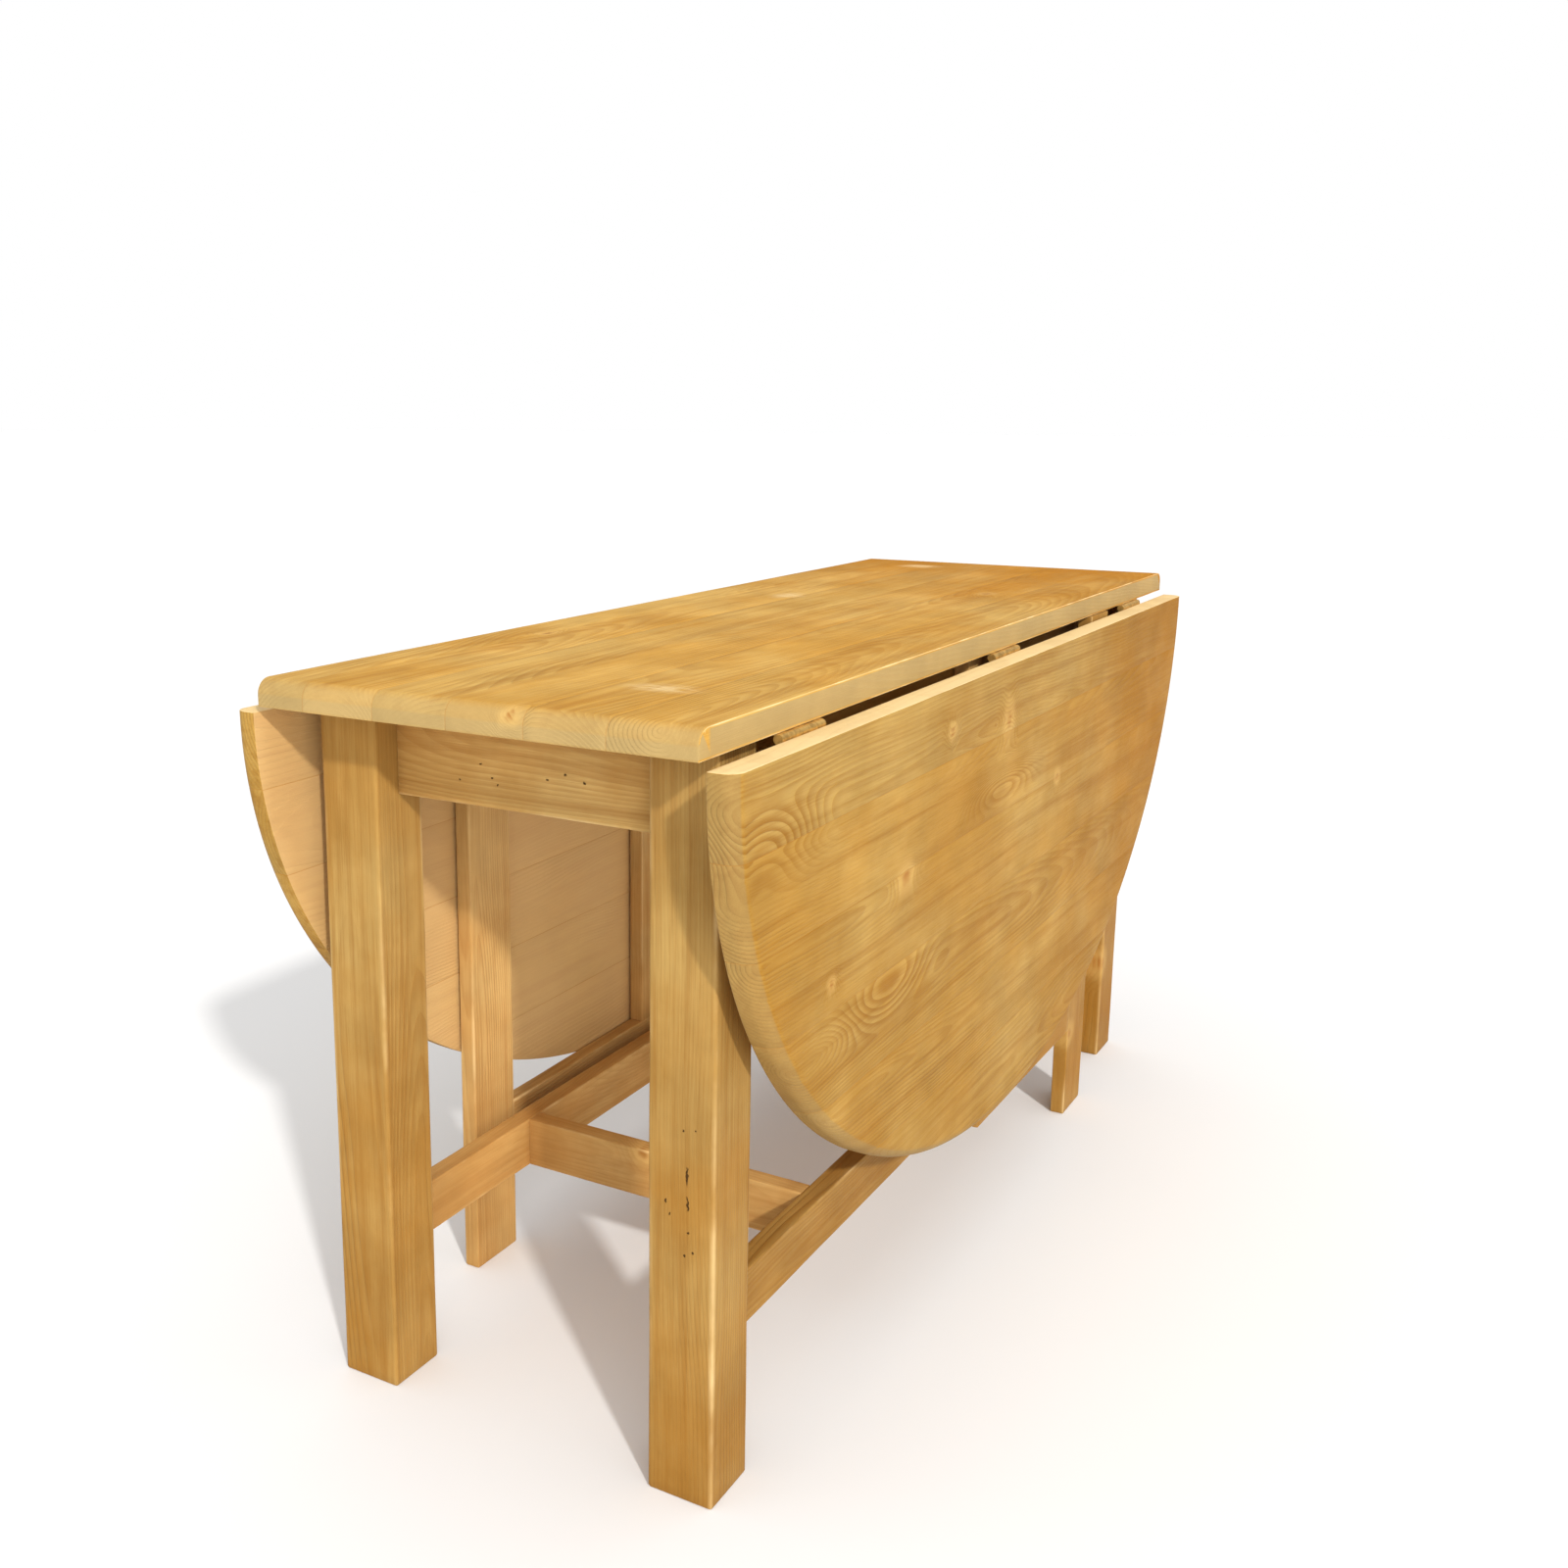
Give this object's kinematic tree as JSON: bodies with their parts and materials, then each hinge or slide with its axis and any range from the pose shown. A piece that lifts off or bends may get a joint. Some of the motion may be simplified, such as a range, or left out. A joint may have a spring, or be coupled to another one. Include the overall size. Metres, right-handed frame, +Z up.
{
  "type": "gateleg table",
  "caption": "Rectangular pine gateleg table with rounded ends, half-elliptical drop leaves on brass hinges, square legs, stretchers and swinging gates.",
  "frame": {"origin": "on the floor, under the middle of the table", "axes": "+X along the top and the leaf hinges, +Y across the table towards the rear leaf, +Z up"},
  "size_m": [1.48, 0.55, 0.76],
  "materials": {
    "pine_top": "waxed",
    "pine_leaf": "waxed",
    "pine_frame": "waxed",
    "brass": "aged",
    "steel": "dull"
  },
  "bodies": {
    "frame": {"button_screws": "steel", "corner_blocks": "pine_frame", "front_apron": "pine_frame", "front_gate_hinge_gate_flaps": "brass", "front_gate_hinge_pins": "brass", "front_gate_hinge_post_flaps": "brass", "front_gate_hinge_screws": "brass", "front_gate_leg": "pine_frame", "front_gate_lower_rail": "pine_frame", "front_gate_stile": "pine_frame", "front_gate_upper_rail": "pine_frame", "front_hinge_post": "pine_frame", "front_leaf_hinge_pins": "brass", "front_left_hinge_top_flap": "brass", "front_left_leg": "pine_frame", "front_middle_hinge_top_flap": "brass", "front_right_hinge_top_flap": "brass", "front_right_leg": "pine_frame", "front_stretcher": "pine_frame", "hinge_post_screws": "steel", "left_cross_stretcher": "pine_frame", "left_end_apron": "pine_frame", "rear_apron": "pine_frame", "rear_gate_hinge_gate_flaps": "brass", "rear_gate_hinge_pins": "brass", "rear_gate_hinge_post_flaps": "brass", "rear_gate_hinge_screws": "brass", "rear_gate_leg": "pine_frame", "rear_gate_lower_rail": "pine_frame", "rear_gate_stile": "pine_frame", "rear_gate_upper_rail": "pine_frame", "rear_hinge_post": "pine_frame", "rear_leaf_hinge_pins": "brass", "rear_left_hinge_top_flap": "brass", "rear_left_leg": "pine_frame", "rear_middle_hinge_top_flap": "brass", "rear_right_hinge_top_flap": "brass", "rear_right_leg": "pine_frame", "rear_stretcher": "pine_frame", "right_cross_stretcher": "pine_frame", "right_end_apron": "pine_frame", "top_buttons": "pine_frame", "top_flap_screws": "brass", "top_panel": "pine_top"},
    "front_leaf_body": {"front_leaf": "pine_leaf", "front_leaf_flap_screws": "brass", "front_leaf_stop": "pine_frame", "front_leaf_stop_screws": "steel", "front_left_hinge_leaf_flap": "brass", "front_middle_hinge_leaf_flap": "brass", "front_right_hinge_leaf_flap": "brass"},
    "rear_leaf_body": {"rear_leaf": "pine_leaf", "rear_leaf_flap_screws": "brass", "rear_leaf_stop": "pine_frame", "rear_leaf_stop_screws": "steel", "rear_left_hinge_leaf_flap": "brass", "rear_middle_hinge_leaf_flap": "brass", "rear_right_hinge_leaf_flap": "brass"}
  },
  "joints": [
    {"name": "front_leaf_hinge", "type": "hinge", "parent": "frame", "child": "front_leaf_body", "pos_m": [0, -0.242, 0.727], "axis": [-1, 0, 0], "range_deg": [0, 90]},
    {"name": "rear_leaf_hinge", "type": "hinge", "parent": "frame", "child": "rear_leaf_body", "pos_m": [0, 0.242, 0.727], "axis": [1, 0, 0], "range_deg": [0, 90]}
  ]
}
